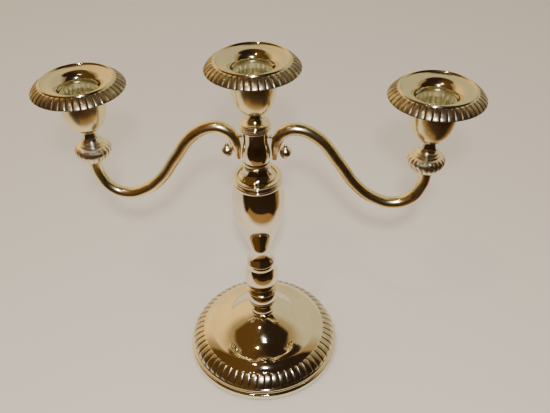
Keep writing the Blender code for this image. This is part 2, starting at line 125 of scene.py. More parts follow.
def new_finish(name):
    """An empty material and its shader."""
    made = bpy.data.materials.new(name)
    made.use_nodes = True
    return made, made.node_tree, made.node_tree.nodes["Principled BSDF"]


bpy.ops.mesh.primitive_plane_add(size=TABLE_SIZE, location=(0.0, 0.0, -TABLE_DROP))
table = bpy.context.active_object
table.name = "table_top"
table_finish, lacquer, table_shader = new_finish("cream_lacquer")
spot = chain(lacquer, "ShaderNodeTexCoord").outputs["Object"]
from_stem = chain(lacquer, "ShaderNodeVectorMath", i0=spot)
from_stem.operation = "LENGTH"
side = chain(lacquer, "ShaderNodeSeparateXYZ", i0=spot)
frontward = maths(lacquer, "MULTIPLY", side.outputs["Y"], -0.75)
rightmost = maths(lacquer, "MULTIPLY", side.outputs["X"], 0.35)
reach_out = maths(lacquer, "ADD", maths(lacquer, "ADD", frontward, rightmost),
                  maths(lacquer, "MULTIPLY", from_stem.outputs["Value"], 0.25))
# Only glossy rays see the gold and dark: a painted reflection of the unlit room in front.
in_silver = lacquer.nodes.new("ShaderNodeLightPath").outputs["Is Glossy Ray"]
sideways = maths(lacquer, "ABSOLUTE", side.outputs["X"])
at_sides = maths(lacquer, "MULTIPLY", ramp(lacquer, sideways, *REFLECTION_SIDES),
                 ramp(lacquer, side.outputs["Y"], 0.02, -0.06))
far_off = maths(lacquer, "MAXIMUM", ramp(lacquer, reach_out, *REFLECTION_FAR), at_sides)
painted_reflection = blend_colours(lacquer, far_off, REFLECTED_ROOM_GOLD, REFLECTED_ROOM_DARK)
faded = blend_colours(lacquer, ramp(lacquer, reach_out, *REFLECTION_NEAR), TABLE_CREAM, painted_reflection)
table_colour = blend_colours(lacquer, in_silver, TABLE_CREAM, faded)
lacquer.links.new(table_colour, table_shader.inputs["Base Color"])
table_shader.inputs["Roughness"].default_value = TABLE_ROUGHNESS
table_shader.inputs["Specular IOR Level"].default_value = TABLE_SHEEN
table.data.materials.append(table_finish)

# ---------------------------------------------------------------- light
# In the silver a lit cream wall stands behind, and the room overhead and in front is unlit, brown
# to the left and black to the right. The table itself is lit evenly. Two small lamps make glints.
WALL_GOLD = (1.30, 0.86, 0.34, 1.0)
WALL_GREY = (0.70, 0.61, 0.38, 1.0)
SIDE_BROWN = (0.42, 0.29, 0.13, 1.0)
ROOM_BROWN = (0.125, 0.060, 0.017, 1.0)
ROOM_BLACK = (0.030, 0.018, 0.011, 1.0)
PALE = (0.80, 0.72, 0.62, 1.0)
EVEN_LIGHT = (0.62, 0.54, 0.44, 1.0)  # what the table is lit by, the same from all round
WALL_TOP = 0.880  # sine of the wall's height as the foot sees it
WALL_TOP_BLUR = 0.012
STEM_MIDDLE = Vector((0.0, 0.0, 0.12))  # what every lamp is aimed at

room = bpy.data.worlds.new("room")
room.use_nodes = True
bpy.context.scene.world = room
sky = room.node_tree
way = chain(sky, "ShaderNodeSeparateXYZ", i0=chain(sky, "ShaderNodeTexCoord").outputs["Generated"])
rightness, depth_way, rise = way.outputs["X"], way.outputs["Y"], way.outputs["Z"]
on_side = ramp(sky, depth_way, -0.06, 0.08)
on_wall = ramp(sky, depth_way, 0.10, 0.50)
overhead_part = ramp(sky, rise, WALL_TOP - WALL_TOP_BLUR, WALL_TOP + WALL_TOP_BLUR)
wall = blend_colours(sky, ramp(sky, rightness, -0.75, 0.15), WALL_GOLD, WALL_GREY)
dark = blend_colours(sky, ramp(sky, rightness, -0.25, 0.12), ROOM_BROWN, ROOM_BLACK)
lit = blend_colours(sky, on_side, dark, blend_colours(sky, on_wall, SIDE_BROWN, wall))
seen = blend_colours(sky, overhead_part, lit, dark)
ray = sky.nodes.new("ShaderNodeLightPath").outputs
evened = blend_colours(sky, ray["Is Diffuse Ray"], seen, EVEN_LIGHT)
background = sky.nodes["Background"]
sky.links.new(blend_colours(sky, ray["Is Camera Ray"], evened, PALE), background.inputs["Color"])


def lamp(name, place, across, watts, colour, mirrored=True):
    """A round area lamp that faces the stem."""
    bpy.ops.object.light_add(type="AREA", location=place)
    made = bpy.context.active_object
    made.name = name
    made.data.shape = "DISK"
    made.data.size = across
    made.data.energy = watts
    made.data.color = colour
    made.visible_glossy = mirrored
    aim = STEM_MIDDLE - Vector(place)
    made.rotation_euler = aim.to_track_quat("-Z", "Y").to_euler()


lamp("soft_overhead", (-0.3, 0.3, 1.5), 1.6, 9.5, (1.0, 0.96, 0.90), mirrored=False)
lamp("white_glint", (0.050, -0.38, 0.53), 0.030, 2.2, (1.0, 1.0, 1.0))
lamp("warm_glint", (-0.18, -0.42, 1.20), 0.05, 1.2, (1.0, 0.70, 0.38))

# ---------------------------------------------------------------- felt and cement
# A thin silver foot is filled with cement round a steel rod. Dark felt is glued under it.
FELT_GREEN = (0.020, 0.048, 0.032, 1.0)
FELT_WORN = (0.050, 0.085, 0.060, 1.0)
CEMENT_GREY = (0.36, 0.34, 0.31, 1.0)
CEMENT_PALE = (0.56, 0.53, 0.48, 1.0)


def grainy(name, first, second, scale, rough, height, metallic=0.0):
    """Two shades broken up by a grain of the given scale, which also roughens the surface."""
    made, tree, shader = new_finish(name)
    place = chain(tree, "ShaderNodeTexCoord").outputs["Object"]
    grain = chain(tree, "ShaderNodeTexNoise", Vector=place, Scale=scale, Detail=6.0, Roughness=0.65)
    shade = blend_colours(tree, ramp(tree, grain.outputs[0], 0.35, 0.65), first, second)
    tree.links.new(shade, shader.inputs["Base Color"])
    bump = chain(tree, "ShaderNodeBump", Strength=0.6, Distance=height, Height=grain.outputs[0])
    tree.links.new(bump.outputs[0], shader.inputs["Normal"])
    shader.inputs["Roughness"].default_value = rough
    shader.inputs["Metallic"].default_value = metallic
    return made


def wear(node, finish):
    """A carried-over piece gets a finish in place of its plain one."""
    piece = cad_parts[node]
    if not piece.material_slots:
        piece.data.materials.append(finish)
    for place in piece.material_slots:
        place.material = finish


felt = grainy("green_felt", FELT_GREEN, FELT_WORN, 900.0, 0.95, 0.0004)
felt.node_tree.nodes["Principled BSDF"].inputs["Sheen Weight"].default_value = 0.5
cement = grainy("cast_cement", CEMENT_GREY, CEMENT_PALE, 180.0, 0.9, 0.0006)
wear("felt_pad", felt)
wear("base_weight", cement)
wear("stem_filler", cement)

# ---------------------------------------------------------------- foot
# The foot is one sheet of silver, spun to a dome and pressed with a band of ribs over stepped
# mouldings. Everything silver here is polished by hand and darkens where the cloth can't reach.
# The ribbed bands are also darkened all over with a painted dark reflection of the unlit room, and
# some parts get lighter, darker or warmer copies of the silver as painted light and shade.
MM = 0.001
SILVER = (0.91, 0.84, 0.64, 1.0)
SILVER_WARM = (0.80, 0.71, 0.46, 1.0)
# A lighter copy of the silver for the sleeves: painted light.
SILVER_PAINTED_LIGHT = (0.96, 0.95, 0.72, 1.0)
# A warmer copy of the silver for the arms and cups: painted warm reflection.
SILVER_PAINTED_GOLD = (0.93, 0.80, 0.46, 1.0)
# A darker copy of the silver for the drip pans: painted shade, for the dark room they mirror.
SILVER_PAINTED_SHADE = (0.72, 0.67, 0.49, 1.0)
# Tarnish colour. On ribbed bands it also paints the dark reflection of the unlit room.
TARNISH_AND_SHADE = (0.10, 0.060, 0.030, 1.0)
SPUN_SIDES = 144
FOOT_RIBS = 60
FOOT_RIB_DEPTH = 0.40 * MM
# How dark the foot's band is made all over: tarnish, and painted dark reflection of the unlit room.
FOOT_BAND_TARNISH_AND_SHADE = 0.34
CRISP_EDGE = math.radians(38)


def polish_group():
    """How polished silver ages: warm clouds, fine rubbing marks and dark, dull seams. The Seam input also
    brings a painted dark reflection over ribbed bands.
    """
    group = bpy.data.node_groups.new("aged_polish", "ShaderNodeTree")
    for name, kind in (("Metal", "Color"), ("Seam", "Float"), ("Dullness", "Float")):
        group.interface.new_socket(name=name, in_out="INPUT", socket_type="NodeSocket" + kind)
    for name, kind in (("Colour", "Color"), ("Roughness", "Float"), ("Height", "Float")):
        group.interface.new_socket(name=name, in_out="OUTPUT", socket_type="NodeSocket" + kind)
    given = group.nodes.new("NodeGroupInput")
    out = group.nodes.new("NodeGroupOutput")
    place = chain(group, "ShaderNodeTexCoord").outputs["Object"]
    clouds = chain(group, "ShaderNodeTexNoise", Vector=place, Scale=38.0, Detail=4.0, Roughness=0.6)
    smears = chain(group, "ShaderNodeTexNoise", Vector=place, Scale=160.0, Detail=5.0, Roughness=0.7)
    marks = chain(group, "ShaderNodeTexNoise", Vector=place, Scale=2600.0, Detail=2.0, Roughness=0.5)
    warm = ramp(group, clouds.outputs[0], 0.42, 0.75)
    clean = blend_colours(group, maths(group, "MULTIPLY", warm, 0.7), given.outputs["Metal"], SILVER_WARM)
    broken = maths(group, "MULTIPLY", ramp(group, smears.outputs[0], 0.2, 0.6), given.outputs["Seam"])
    # The Seam input brings tarnish in the grooves and, over ribbed bands, painted dark reflection. Both darken
    # towards the tarnish colour.
    stain_and_shade = ramp(group, maths(group, "ADD", given.outputs["Seam"], broken), 0.25, 1.25)
    group.links.new(blend_colours(group, stain_and_shade, clean, TARNISH_AND_SHADE), out.inputs["Colour"])
    haze = maths(group, "MULTIPLY", ramp(group, smears.outputs[0], 0.45, 0.8), 0.06)
    dull = maths(group, "ADD", maths(group, "MULTIPLY", stain_and_shade, 0.34), haze)
    group.links.new(maths(group, "ADD", dull, given.outputs["Dullness"]), out.inputs["Roughness"])
    soft = maths(group, "MULTIPLY", clouds.outputs[0], 0.9)
    fine = maths(group, "MULTIPLY", marks.outputs[0], 0.035)
    group.links.new(maths(group, "ADD", soft, fine), out.inputs["Height"])
    return group


aged_polish = polish_group()


def silver_finish(name, dullness, dents, metal=SILVER):
    """Polished silver: how dull it is all over, how deep its soft dents are, and its shade."""
    made, tree, shader = new_finish(name)
    aged = tree.nodes.new("ShaderNodeGroup")
    aged.node_tree = aged_polish
    aged.inputs["Metal"].default_value = metal
    aged.inputs["Dullness"].default_value = dullness
    # The seam attribute holds tarnish and, on ribbed bands, painted dark reflection.
    seam = tree.nodes.new("ShaderNodeAttribute")
    seam.attribute_name = "seam"
    tree.links.new(seam.outputs["Fac"], aged.inputs["Seam"])
    tree.links.new(aged.outputs["Colour"], shader.inputs["Base Color"])
    tree.links.new(aged.outputs["Roughness"], shader.inputs["Roughness"])
    bump = chain(tree, "ShaderNodeBump", Strength=0.5, Distance=dents, Height=aged.outputs["Height"])
    tree.links.new(bump.outputs[0], shader.inputs["Normal"])
    shader.inputs["Metallic"].default_value = 1.0
    return made


spun_silver = silver_finish("spun_silver", 0.05, 0.00022)
cast_silver = silver_finish("cast_silver", 0.20, 0.00015)
# Arms and cups: the silver warmed as painted warm reflection.
brushed_silver_painted_gold = silver_finish("brushed_silver_painted_gold", 0.22, 0.00012, SILVER_PAINTED_GOLD)
# Drip pans: the silver darkened as painted shade.
dull_silver_painted_shade = silver_finish("dull_silver_painted_shade", 0.11, 0.00020, SILVER_PAINTED_SHADE)
# Sleeves: the silver lightened as painted light.
satin_silver_painted_light = silver_finish("satin_silver_painted_light", 0.30, 0.0001, SILVER_PAINTED_LIGHT)


def flow(points, steps=5):
    """A smooth stretch of a section through the given points."""
    line = []
    last = len(points) - 1
    for index in range(last):
        before, here = points[max(index - 1, 0)], points[index]
        there, after = points[index + 1], points[min(index + 2, last)]
        for step in range(steps):
            t = step / steps
            line.append(tuple(
                0.5 * (2 * q + (r - p) * t + (2 * p - 5 * q + 4 * r - s) * t**2
                       + (3 * q - p - 3 * r + s) * t**3)
                for p, q, r, s in zip(before, here, there, after)
            ))
    return line + [points[-1]]


def fitted(drawing, node):
    """A section drawn in millimetres, brought to the radius and the height of its node."""
    low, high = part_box(node)
    widest = max(radius for radius, height in drawing)
    foot = min(height for radius, height in drawing)
    top = max(height for radius, height in drawing)
    wide = (high.x - low.x) / 2 / widest
    tall = (high.z - low.z) / (top - foot)
    return [(radius * wide, low.z + (height - foot) * tall) for radius, height in drawing]


def draw_section(name, section):
    """One point, drawn out edge by edge. Metal lies on the right of the way it is drawn."""
    bpy.ops.object.select_all(action="DESELECT")
    bpy.ops.mesh.primitive_plane_add(size=MM, location=(0.0, 0.0, 0.0))
    piece = bpy.context.active_object
    piece.name = name
    piece.data.name = name
    bpy.ops.object.mode_set(mode="EDIT")
    bpy.ops.mesh.merge(type="CENTER")
    bpy.ops.transform.translate(value=(section[0][0], 0.0, section[0][1]))
    for (radius, height), (next_radius, next_height) in zip(section, section[1:]):
        step = (next_radius - radius, 0.0, next_height - height)
        bpy.ops.mesh.extrude_vertices_move(TRANSFORM_OT_translate={"value": step})
    bpy.ops.mesh.select_all(action="SELECT")
    bpy.ops.mesh.remove_doubles(threshold=0.001 * MM)
    return piece


def close_up(piece, finish, axis_x=0.0):
    """Welds the seams, turns the faces out, and moves the mesh to its axis."""
    bpy.ops.mesh.select_all(action="SELECT")
    bpy.ops.mesh.remove_doubles(threshold=0.002 * MM)
    bpy.ops.mesh.normals_make_consistent(inside=False)
    bpy.ops.transform.translate(value=(axis_x, 0.0, 0.0))
    bpy.ops.object.mode_set(mode="OBJECT")
    bpy.ops.object.shade_smooth_by_angle(angle=CRISP_EDGE)
    piece.data.materials.append(finish)
    return piece


def soften(piece, width=0.15 * MM):
    """A small round on the crisp edges, which catches the light."""
    bevel = piece.modifiers.new("edge", "BEVEL")
    bevel.width = width
    bevel.segments = 2
    bevel.limit_method = "ANGLE"
    bevel.angle_limit = CRISP_EDGE
    bpy.ops.object.modifier_apply(modifier=bevel.name)
    return piece


def turned(name, section, finish=spun_silver, sides=SPUN_SIDES, axis_x=0.0):
    """A piece spun all round its axis."""
    piece = draw_section(name, section)
    bpy.ops.mesh.spin(steps=sides, angle=math.tau, center=(0, 0, 0), axis=(0, 0, 1))
    return soften(close_up(piece, finish, axis_x))


def pick(piece, wanted):
    """Selects the points that the test wants, and nothing else."""
    mesh = bmesh.from_edit_mesh(piece.data)
    for vert in mesh.verts:
        vert.select_set(wanted(vert.co))
    mesh.select_flush_mode()
    bmesh.update_edit_mesh(piece.data)


def ribbed(name, section, count, depth, band, columns=10, roundness=0.28, sheet=None, band_tarnish_and_shade=0.0,
           finish=spun_silver, axis_x=0.0):
    """A spun piece with ribs. One rib's wedge is spun, its two seams are sunk, and it is set all round.

    band gives the share of the depth at a point of the section. The seams sink square to the
    surface, or along sheet where both skins of a pressed sheet move together. The argument after
    sheet darkens the whole band: tarnish the cloth leaves, and painted dark reflection of the unlit room.
    """
    wedge = math.tau / count
    piece = draw_section(name, section)
    bpy.ops.mesh.spin(steps=columns, angle=wedge, center=(0, 0, 0), axis=(0, 0, 1))
    sunk = []
    for before, (radius, height), after in zip(section, section[1:], section[2:]):
        share = band(radius, height)
        if share < 0.01:
            continue
        run = Vector((after[0] - before[0], after[1] - before[1])).normalized()
        lean = sheet or (-run.y, run.x)
        for column in range(columns + 1):
            crown = math.sin(math.pi * column / columns) ** roundness
            turn = wedge * column / columns
            spot = Vector((radius * math.cos(turn), radius * math.sin(turn), height))
            move = Vector((lean[0] * math.cos(turn), lean[0] * math.sin(turn), lean[1]))
            sunk.append((spot, share * (1.0 - crown), share, move))
    mesh = bmesh.from_edit_mesh(piece.data)
    clockwise = min(mesh.verts, key=lambda vert: vert.co.y).co.y < -0.1 * MM
    seam = mesh.verts.layers.float.new("seam")
    mesh.verts.ensure_lookup_table()
    for spot, share, in_band, move in sunk:
        if clockwise:
            spot.y, move.y = -spot.y, -move.y
        vert = min(mesh.verts, key=lambda vert: (vert.co - spot).length_squared)
        # Over the whole band the seam value is raised: tarnish, and painted dark reflection of the unlit room.
        # In the grooves it is tarnish alone.
        vert[seam] = band_tarnish_and_shade * in_band + 0.5 * share * share
    bmesh.update_edit_mesh(piece.data)
    for spot, share, in_band, move in sunk:
        if share > 0.01:
            pick(piece, lambda place: (place - spot).length < 0.004 * MM)
            bpy.ops.transform.translate(value=move * -depth * share)
    bpy.ops.mesh.select_all(action="SELECT")
    rest = math.tau * (count - 1) / count
    bpy.ops.mesh.spin(steps=count - 1, angle=rest, dupli=True, center=(0, 0, 0), axis=(0, 0, 1))
    return close_up(piece, finish, axis_x)


def settle(piece, body, *nodes, slot="silver"):
    """The piece moves with its body and is shown for its nodes."""
    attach(piece, body)
    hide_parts(*nodes)


def swell(low, high, fade):
    """1 between low and high, falling to 0 over fade at both ends."""
    def share(value):
        return max(0.0, min(1.0, (value - low) / fade, (high - value) / fade))
    return share


foot_outside = flow([
    (8.6, 50.0), (8.65, 46.8), (8.9, 43.8), (9.9, 41.9), (13.0, 40.7), (18.0, 38.6),
        (23.0, 35.7), (27.0, 33.0),
    (31.0, 30.1), (36.0, 27.4), (41.0, 25.6), (44.6, 24.7), (46.2, 24.4),
])
foot_outside += flow([(46.4, 24.3), (48.0, 23.5), (50.0, 22.2), (51.6, 20.9), (52.6, 19.9)])
foot_outside += flow([(52.9, 19.8), (55.0, 18.9), (57.6, 17.3), (60.0, 15.3), (61.9, 13.1),
    (62.9, 11.4)])
foot_outside += flow([(62.6, 10.9), (61.8, 10.5)], 2) + flow([(62.4, 10.2), (63.4, 9.4),
    (63.4, 8.2), (62.6, 7.4)])
foot_outside += flow([(61.9, 7.0), (62.1, 6.4)], 2) + flow([(63.6, 6.3), (65.1, 5.7),
    (65.7, 4.6), (65.7, 2.4)])
foot_outside += [(65.6, 1.0), (65.3, 0.5)]
foot_inside = [(64.4, 0.5), (64.3, 3.9), (60.4, 5.6), (60.1, 13.0), (56.4, 16.6), (52.2, 18.6),
    (45.6, 23.0)]
foot_inside += [(41.0, 24.2), (35.6, 26.0), (30.4, 28.9), (26.4, 31.8), (22.4, 34.5),
    (17.5, 37.3), (12.7, 39.5)]
foot_inside += [(9.2, 40.0), (7.6, 41.6), (7.6, 50.0), (8.6, 50.0)]
foot_section = fitted(foot_outside + foot_inside, "base_shell")
FOOT_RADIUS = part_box("base_shell")[1].x


def on_foot_band(radius, height):
    """All of the band, to just short of the groove at its foot."""
    if height < 10.7 * MM:
        return 0.0
    return max(0.0, min(1.0, (radius - 0.801 * FOOT_RADIUS) / (1.1 * MM),
        (height - 10.7 * MM) / (1.2 * MM)))


foot = ribbed("silver_foot", foot_section, FOOT_RIBS, FOOT_RIB_DEPTH, on_foot_band, band_tarnish_and_shade=FOOT_BAND_TARNISH_AND_SHADE)
settle(foot, "candlestick", "base_shell")

# ---------------------------------------------------------------- clamping rod
# A steel rod runs up the stem from a washer and nut in the foot, and is cut with a fine thread.
STEEL_DARK = (0.30, 0.30, 0.31, 1.0)
STEEL_BRIGHT = (0.60, 0.60, 0.60, 1.0)
THREAD_PITCH = 0.8 * MM
THREAD_DEPTH = 0.35 * MM

plain_steel = grainy("plain_steel", STEEL_DARK, STEEL_BRIGHT, 320.0, 0.38, 0.00008, metallic=1.0)


def threaded(name, node, body, smooth_foot=0.0):
    """A rod whose section is a run of small ridges, one to each turn of its thread."""
    low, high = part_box(node)
    radius = (high.x - low.x) / 2
    root = radius - THREAD_DEPTH
    line = [(0.0, high.z), (root, high.z)]
    height = high.z - THREAD_PITCH / 2
    while height > low.z + smooth_foot + THREAD_PITCH:
        line += [(radius, height), (root, height - THREAD_PITCH / 2)]
        height -= THREAD_PITCH
    line += [(root, low.z), (0.0, low.z)]
    piece = draw_section(name, line)
    bpy.ops.mesh.spin(steps=24, angle=math.tau, center=(0, 0, 0), axis=(0, 0, 1))
    close_up(piece, plain_steel, (low.x + high.x) / 2)
    settle(piece, body, node, slot="steel")


threaded("clamping_rod", "stem_rod", "candlestick")
wear("rod_nut", plain_steel)
washer_section = fitted([(2.8, 0.0), (2.8, 1.2), (7.3, 1.2), (7.5, 1.0), (7.5, 0.2), (7.3, 0.0),
    (2.8, 0.0)], "rod_washer")
settle(turned("clamping_washer", washer_section, plain_steel, 64), "candlestick", "rod_washer", slot="steel")

# ---------------------------------------------------------------- knops
# Two hollow spun balls are threaded on the rod with a thin ring between them.
lower_outside = flow([(9.4, 16.4), (10.6, 15.0), (12.2, 12.2), (12.8, 8.4), (12.3, 4.4),
    (10.6, 1.3), (8.9, 0.0)])
lower_inside = flow([(7.9, 0.0), (9.6, 1.9), (11.2, 4.8), (11.8, 8.4), (11.2, 11.8),
    (9.8, 14.2), (8.4, 16.4)], 3)
lower_knop = turned("lower_knop_ball", fitted(lower_outside + lower_inside + lower_outside[:1], "lower_knop"))
settle(lower_knop, "candlestick", "lower_knop")

ring = flow([(8.0, 2.4), (11.6, 2.35), (12.7, 2.0), (13.2, 1.2), (12.7, 0.4), (11.6, 0.05),
    (8.0, 0.0)])
settle(turned("knop_ring", fitted(ring + ring[:1], "fillet_ring")), "candlestick", "fillet_ring")

upper_outside = flow([(10.6, 29.1), (11.1, 27.2), (11.0, 25.6)], 3)
upper_outside += flow([(11.0, 25.0), (12.4, 21.4), (13.6, 16.6), (14.0, 12.2), (13.4, 7.2),
    (12.2, 3.2), (10.6, 0.0)])
upper_inside = flow([(9.6, 0.0), (11.1, 3.4), (12.4, 7.4), (13.0, 12.2), (12.6, 16.4),
    (11.4, 21.0), (9.7, 25.4)], 3)
upper_inside += [(9.6, 29.1), (10.6, 29.1)]
upper_knop = turned("upper_knop_ball", fitted(upper_outside + upper_inside, "upper_knop"))
settle(upper_knop, "candlestick", "upper_knop")

# ---------------------------------------------------------------- vase
# The vase is spun from one disc and left plain, so that it mirrors the whole room.
vase_outside = flow([(17.6, 82.2), (18.1, 81.7), (18.1, 80.8), (17.95, 80.2)], 3)
vase_outside += flow([
    (18.1, 79.6), (19.0, 73.0), (19.6, 67.0), (19.7, 62.5), (19.3, 56.0), (18.2, 49.5),
        (16.3, 42.0),
    (13.6, 33.6), (10.6, 25.0), (8.6, 19.0), (7.6, 14.6), (7.4, 11.4), (7.8, 8.2), (8.8, 5.4),
        (10.4, 2.6),
    (11.0, 1.4),
])
vase_outside += flow([(11.3, 1.1), (11.35, 0.6), (11.1, 0.0)], 3)
vase_inside = flow([
    (9.6, 0.0), (9.2, 2.8), (7.4, 6.0), (6.5, 9.2), (6.5, 13.4), (7.6, 19.0), (12.6, 33.6),
        (17.1, 49.5),
    (18.6, 60.0), (18.4, 68.0), (17.1, 79.6), (16.6, 82.2),
], 3)
vase = turned("vase_body", fitted(vase_outside + vase_inside + vase_outside[:1], "vase_shell"))
settle(vase, "candlestick", "vase_shell")

# ---------------------------------------------------------------- socket
# A drawn liner takes a candle or the branch's plug, and hangs from a rolled and coved rim.
rim_outside = flow([(14.5, 3.6), (14.7, 4.1), (15.4, 4.2), (16.8, 4.2), (17.5, 4.0),
    (17.75, 3.4), (17.6, 2.8)])
rim_outside += flow([(16.7, 2.3), (16.3, 1.6), (16.8, 0.7), (17.9, 0.3), (18.05, 0.0)], 4)
rim_inside = [(12.95, 0.0), (12.95, 1.7), (14.5, 1.7), (14.5, 3.6)]
settle(turned("socket_rim_roll", fitted(rim_outside + rim_inside, "socket_rim")), "candlestick", "socket_rim")
liner = [(0.0, 8.0), (11.0, 8.0)] + flow([(11.4, 8.2), (11.6, 8.9)], 3) + [(11.6, 32.4),
    (12.0, 33.0)]
liner += [(14.2, 33.0), (14.2, 32.0), (12.6, 32.0), (12.6, 7.2), (6.2, 0.4), (5.8, 0.0), (2.8, 0.0)]
liner += [(2.8, 7.0), (0.0, 7.0)]
settle(turned("socket_liner_tube", fitted(liner, "socket_liner")), "candlestick", "socket_liner")

# ---------------------------------------------------------------- plug
# The branch's plug is a drawn ferrule. A round-headed screw through it lets the branch turn.
plug = [(2.9, 21.0), (10.9, 21.0)] + flow([(11.1, 20.9), (11.3, 20.5)], 2) + [(11.3, 6.0)]
plug += flow([(11.25, 5.6), (10.9, 5.2), (10.9, 4.6), (11.25, 4.2)], 3) + flow([(11.3, 3.6),
    (11.2, 1.0), (10.8, 0.0)], 3)
plug += [(10.0, 0.0), (10.2, 1.2), (10.2, 19.4), (2.9, 19.4), (2.9, 21.0)]
settle(turned("plug_ferrule", fitted(plug, "branch_plug")), "plug", "branch_plug")
screw = [(0.0, 23.4), (2.3, 23.4), (2.6, 23.1), (2.6, 2.5), (5.5, 2.5)]
screw += flow([(5.5, 1.6), (4.4, 0.6), (2.4, 0.1), (1.0, 0.0)], 4) + [(0.9, 0.6), (0.0, 0.6)]
settle(turned("plug_screw", fitted(screw, "pivot_screw"), plain_steel, 64), "plug", "pivot_screw", slot="steel")

# ---------------------------------------------------------------- hub
# The hub is a stack of spun rings on the branch's own screw: skirt, collar, waisted drum and steps.
skirt = [(2.9, 0.0), (12.7, 0.0)] + flow([(13.3, 0.1), (13.5, 0.6), (13.2, 1.2)], 3)
skirt += flow([(12.6, 1.5), (11.4, 2.9), (10.5, 4.9), (10.0, 6.8), (9.75, 8.2),
    (9.7, 8.6)]) + [(2.9, 8.6), (2.9, 0.0)]
skirt_section = fitted(skirt[::-1], "branch_skirt")
settle(turned("hub_skirt", skirt_section), "branch", "branch_skirt")
collar = [(2.9, 5.5), (9.3, 5.5)] + flow([(9.7, 5.4), (10.1, 4.6), (9.7, 3.8)], 4)
collar += flow([(9.2, 3.5), (9.1, 2.8), (9.2, 2.1)], 4) + flow([(9.6, 1.9), (10.05, 1.1),
    (9.6, 0.2)], 4)
collar += [(9.2, 0.0), (2.9, 0.0), (2.9, 5.5)]
settle(turned("hub_collar_beads", fitted(collar, "hub_collar")), "branch", "hub_collar")
drum = [(0.0, 9.7), (2.3, 9.7), (2.3, 24.2), (8.9, 24.2)]
drum += flow([(8.8, 23.6), (8.75, 19.0), (8.9, 14.6), (9.5, 11.0), (10.1, 7.4), (10.3, 4.6),
    (10.1, 1.8), (9.9, 0.3)])
drum += [(9.7, 0.0), (2.9, 0.0), (2.9, 5.0), (0.0, 5.0)]
settle(turned("hub_drum", fitted(drum, "hub")), "branch", "hub")
steps = [(2.3, 4.4), (9.9, 4.4)]
for level_z in (4.4, 2.93, 1.47):
    steps += flow([(9.9, level_z), (10.6, level_z - 0.3), (10.8, level_z - 0.75),
        (10.5, level_z - 1.2), (9.9, level_z - 1.44)], 3)
steps += [(9.8, 0.0), (2.3, 0.0), (2.3, 4.4)]
settle(turned("hub_steps", fitted(steps, "stepped_rings")), "branch", "stepped_rings")


def bell(name, node):
    """The flared pedestal under a cup."""
    low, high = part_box(node)
    drawing = [(2.3, 10.0), (4.4, 10.0)] + flow([(4.8, 9.8), (4.9, 9.2), (4.6, 8.7)], 3)
    drawing += flow([(4.6, 8.2), (4.9, 6.6), (5.7, 4.4), (7.2, 2.4), (9.2, 1.5)])
    drawing += flow([(9.9, 1.3), (10.3, 0.7), (10.1, 0.0)], 3) + [(2.3, 0.0), (2.3, 10.0)]
    narrow = (high.x - low.x) / 2 / (10.3 * MM)
    stretched = [(radius if radius < 5.0 else 4.9 + (radius - 4.9) * (10.3 * narrow - 4.9) / 5.4, height)
                 for radius, height in drawing]
    piece = turned(name, fitted(stretched, node), sides=96, axis_x=(low.x + high.x) / 2)
    settle(piece, "branch", node)


bell("centre_pedestal", "centre_bell")
threaded("centre_screw", "centre_stud", "branch")

# ---------------------------------------------------------------- arms
# Each arm is a bent silver rod, hammered thin at its inner end, with a ball-ended curl under the
# arch. A peg holds it to the hub, and a ribbed knob and a bell carry its cup.
ARM_RADIUS = 4.5 * MM
seat_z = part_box("branch_skirt")[0].z
reach = (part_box("right_knob")[0].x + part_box("right_knob")[1].x) / 2
ARM_START = 13.0 * MM
arm_points = [  # how far out, height over the seat, and radius
    (0.0, 14.9, 1.9), (0.2, 20.0, 2.4), (1.2, 27.0, 3.8), (3.0, 32.6, 4.23), (7.2, 37.4, 4.5),
]
arm_points = [(ARM_START + out * MM, height * MM, radius * MM) for out, height, radius in arm_points]
arm_shares = [
    (0.15, 39.9), (0.28, 33.8), (0.43, 13.4), (0.56, -6.2), (0.69, -17.0), (0.82, -20.6),
        (0.935, -15.6),
    (0.995, -4.0), (1.008, 3.0), (1.006, 8.6),
]
sweep = reach - ARM_START
arm_points += [(ARM_START + share * sweep, height * MM, ARM_RADIUS) for share, height in arm_shares]


def bent_arm(name, side, node):
    """A round rod along the route, with its ends closed."""
    bpy.ops.object.select_all(action="DESELECT")
    bpy.ops.curve.primitive_bezier_curve_add(location=(0.0, 0.0, 0.0))
    piece = bpy.context.active_object
    piece.name = name
    curve = piece.data
    curve.dimensions = "3D"
    curve.bevel_depth = ARM_RADIUS
    curve.bevel_resolution = 14
    curve.resolution_u = 12
    curve.use_fill_caps = True
    spline = curve.splines[0]
    spline.bezier_points.add(len(arm_points) - 2)
    for point, (out, height, radius) in zip(spline.bezier_points, arm_points):
        point.co = (side * out, 0.0, seat_z + height)
        point.radius = radius / ARM_RADIUS
        point.handle_left_type = "AUTO"
        point.handle_right_type = "AUTO"
    upright = spline.bezier_points[-1]
    upright.handle_left_type = "FREE"
    upright.handle_left = upright.co - Vector((0.0, 0.0, 1.5 * MM))
    bpy.ops.object.convert(target="MESH")
    bpy.ops.object.mode_set(mode="EDIT")
    close_up(piece, brushed_silver_painted_gold)
    settle(piece, "branch", node)


